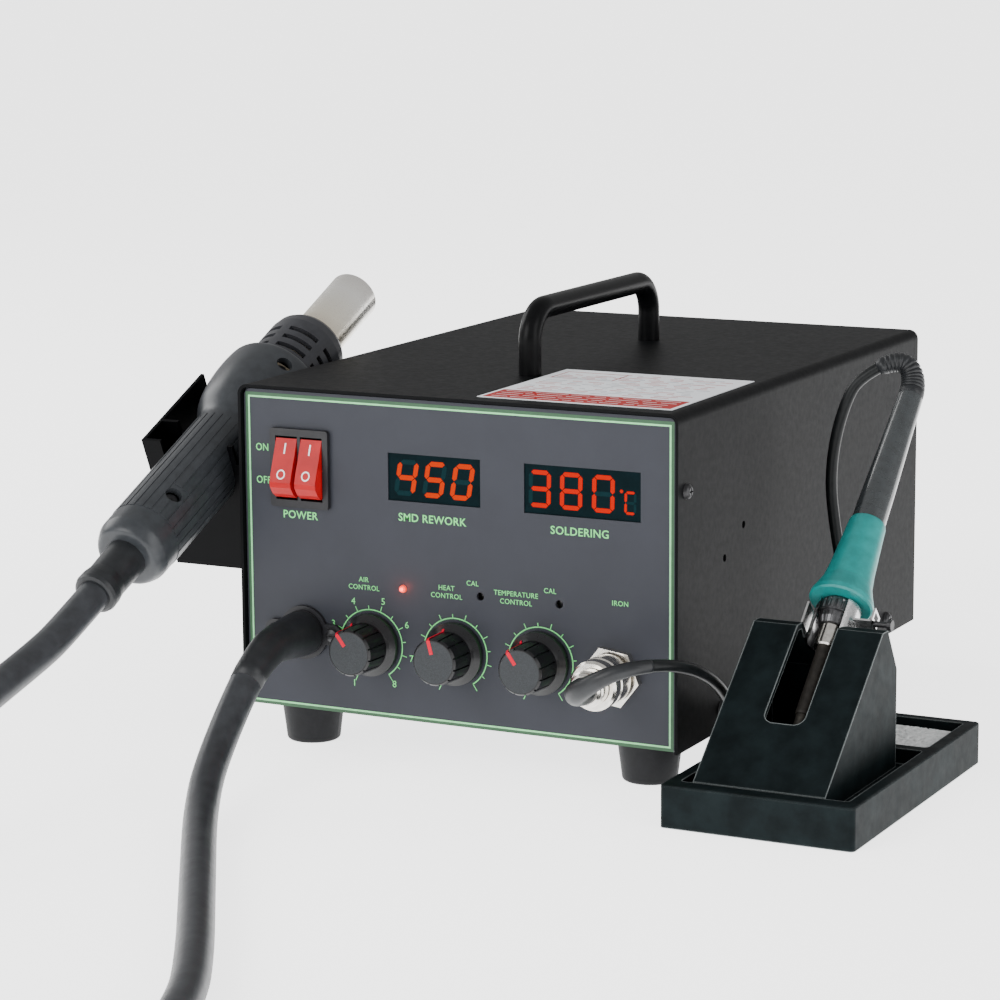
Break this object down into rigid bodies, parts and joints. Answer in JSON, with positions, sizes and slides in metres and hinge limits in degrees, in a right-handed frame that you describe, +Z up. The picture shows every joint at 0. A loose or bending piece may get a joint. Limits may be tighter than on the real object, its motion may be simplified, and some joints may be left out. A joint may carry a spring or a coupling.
{
  "type": "hot air rework station",
  "caption": "Bench rework station: metal box with dials and displays, a hot air gun on a hose in a side holder, and a soldering iron on a cord in its own stand.",
  "frame": {"origin": "bottom centre of the whole object without its cords, on the surface it stands on", "axes": "+X to the operator's right along the front panel, +Y from the front panel to the back, +Z up"},
  "size_m": [0.32, 0.6689, 0.174],
  "materials": {
    "panel_paint": "satin powder coat",
    "cover_paint": "fine textured powder coat",
    "handle_paint": "satin",
    "foot_rubber": "matt",
    "screw_steel": "zinc plated",
    "black_screw": "black oxide",
    "label_film": "printed film",
    "black_plastic": "moulded",
    "red_rocker": "translucent",
    "display_window": "tinted",
    "display_body": "moulded",
    "circuit_board": "solder mask",
    "red_led": "glowing",
    "knob_plastic": "moulded, fluted",
    "shaft_steel": "turned",
    "control_metal": "plated",
    "nickel": "nickel plated, satin",
    "boot_rubber": "satin",
    "hose_rubber": "satin, fine ribs",
    "cord_rubber": "satin",
    "pump_plastic": "moulded",
    "core_iron": "laminated",
    "coil_winding": "taped winding",
    "holder_paint": "satin",
    "gun_plastic": "fine moulded grain",
    "nozzle_steel": "heat tinted",
    "ceramic": "fired",
    "iron_plastic": "moulded",
    "grip_rubber": "soft matt",
    "tip_plating": "tinned",
    "stand_plastic": "moulded, worn edges",
    "clip_steel": "sprung steel",
    "sponge": "cellulose"
  },
  "bodies": {
    "root": {"air_pump": "pump_plastic", "air_tube": "boot_rubber", "carry_handle": "handle_paint", "chassis": "panel_paint", "control_board": "circuit_board", "cord_coil": "cord_rubber", "cover": "cover_paint", "cover_screws": "black_screw", "display_board": "circuit_board", "display_modules": "display_body", "display_windows": "display_window", "feet": "foot_rubber", "flange_screws": "screw_steel", "foot_screws": "screw_steel", "gun_holder": "holder_paint", "handle_screws": "screw_steel", "holder_screws": "black_screw", "hose": "hose_rubber", "hose_flange": "black_plastic", "indicator_led": "red_led", "iron_cord": "cord_rubber", "iron_socket": "nickel", "mains_inlet": "black_plastic", "panel_controls": "control_metal", "plug_body": "nickel", "port_boot": "boot_rubber", "pump_mounts": "foot_rubber", "socket_nut": "nickel", "stand_clip": "clip_steel", "stand_sponge": "sponge", "stand_tower": "stand_plastic", "stand_tray": "stand_plastic", "switch_bezel": "black_plastic", "top_label": "label_film", "transformer_coil": "coil_winding", "transformer_core": "core_iron"},
    "rocker_left": {"rocker_left": "red_rocker"},
    "rocker_right": {"rocker_right": "red_rocker"},
    "dial_air": {"knob_air": "knob_plastic", "shaft_air": "shaft_steel"},
    "dial_heat": {"knob_heat": "knob_plastic", "shaft_heat": "shaft_steel"},
    "dial_iron": {"knob_iron": "knob_plastic", "shaft_iron": "shaft_steel"},
    "trimmer_left": {"trimmer_left": "shaft_steel"},
    "trimmer_right": {"trimmer_right": "shaft_steel"},
    "ring": {"coupling_ring": "nickel"},
    "gun": {"gun_shell_front": "gun_plastic", "gun_shell_back": "gun_plastic", "gun_collar": "gun_plastic", "nozzle_tube": "nozzle_steel", "heater_core": "ceramic", "gun_boot": "boot_rubber"},
    "iron": {"iron_handle": "iron_plastic", "iron_grip": "grip_rubber", "iron_collar": "nickel", "iron_nut": "shaft_steel", "iron_barrel": "shaft_steel", "iron_tip": "tip_plating", "iron_strain_relief": "boot_rubber"}
  },
  "joints": [
    {"name": "rocker_left_tilt", "type": "hinge", "parent": "root", "child": "rocker_left", "pos_m": [-0.0901, -0.0899, 0.1123], "axis": [1, 0, 0], "range_deg": [0, 22]},
    {"name": "rocker_right_tilt", "type": "hinge", "parent": "root", "child": "rocker_right", "pos_m": [-0.0791, -0.0899, 0.1123], "axis": [1, 0, 0], "range_deg": [0, 22]},
    {"name": "air_dial_turn", "type": "hinge", "parent": "root", "child": "dial_air", "pos_m": [-0.0546, -0.0929, 0.0454], "axis": [0, 1, 0], "range_deg": [-117.5, 182.5]},
    {"name": "heat_dial_turn", "type": "hinge", "parent": "root", "child": "dial_heat", "pos_m": [-0.018, -0.0929, 0.0454], "axis": [0, 1, 0], "range_deg": [-139.5, 160.5]},
    {"name": "iron_dial_turn", "type": "hinge", "parent": "root", "child": "dial_iron", "pos_m": [0.0182, -0.0929, 0.0454], "axis": [0, 1, 0], "range_deg": [-119.5, 180.5]},
    {"name": "trimmer_left_turn", "type": "hinge", "parent": "root", "child": "trimmer_left", "pos_m": [-0.0071, -0.0929, 0.0685], "axis": [0, 1, 0], "range_deg": [-130, 130]},
    {"name": "trimmer_right_turn", "type": "hinge", "parent": "root", "child": "trimmer_right", "pos_m": [0.0261, -0.0929, 0.0685], "axis": [0, 1, 0], "range_deg": [-130, 130]},
    {"name": "ring_turn", "type": "hinge", "parent": "root", "child": "ring", "pos_m": [0.0484, -0.0929, 0.0432], "axis": [0, 1, 0], "range_deg": [0, 360]},
    {"name": "gun_lift", "type": "slide", "parent": "root", "child": "gun", "axis": [0, -0.4099, 0.9121], "range_m": [0, 0.07]},
    {"name": "iron_draw", "type": "slide", "parent": "root", "child": "iron", "axis": [0, 0.7314, 0.682], "range_m": [0, 0.085]}
  ]
}
